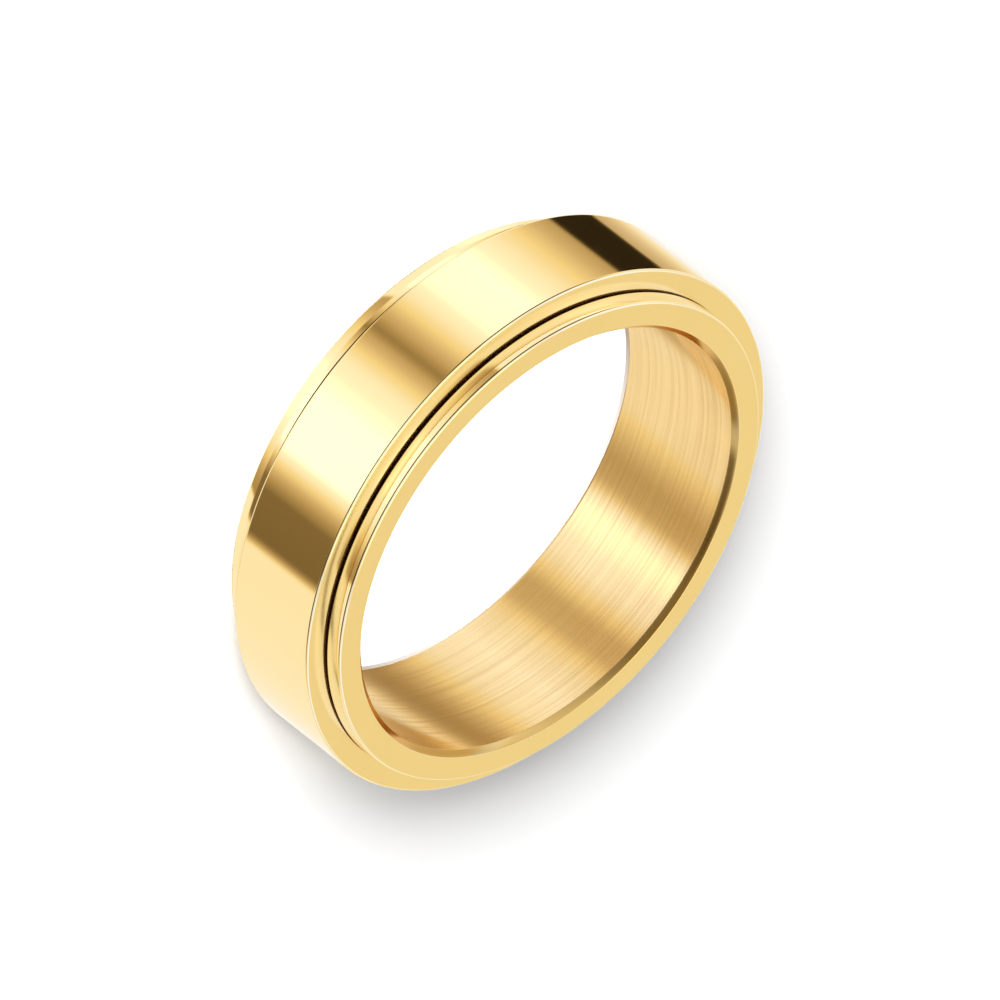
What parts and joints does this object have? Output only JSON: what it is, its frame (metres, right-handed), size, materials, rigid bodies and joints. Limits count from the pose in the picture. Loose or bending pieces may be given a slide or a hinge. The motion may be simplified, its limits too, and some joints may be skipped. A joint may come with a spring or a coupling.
{
  "type": "spinner ring",
  "caption": "Finger ring with a plain outer band that turns freely in the channel of a wider base ring with a brushed bore.",
  "frame": {"origin": "on the ring's axis, in the plane of the lower end face that the ring rests on", "axes": "+Z along the ring's axis, up from the lower end face to the end face that the picture shows; X and Y are any two square directions across the ring"},
  "size_m": [0.0226, 0.0224, 0.0061],
  "materials": {
    "base_ring": "yellow gold-coloured plating over steel: lips mirror polished, flat end faces fine satin, finger bore brushed round its circumference, chamfers a deeper gold, floor of the channel left unpolished",
    "spinner_band": "yellow gold-coloured plating over steel: outer face and edges mirror polished, flat end faces fine satin, inner face left unpolished"
  },
  "bodies": {
    "base": {"base_ring": "base_ring"},
    "band": {"spinner_band": "spinner_band"}
  },
  "joints": [
    {"name": "band_spin", "type": "hinge", "parent": "base", "child": "band", "pos_m": [0, 0, 0.00333], "axis": [0, 0, 1], "continuous": true}
  ]
}
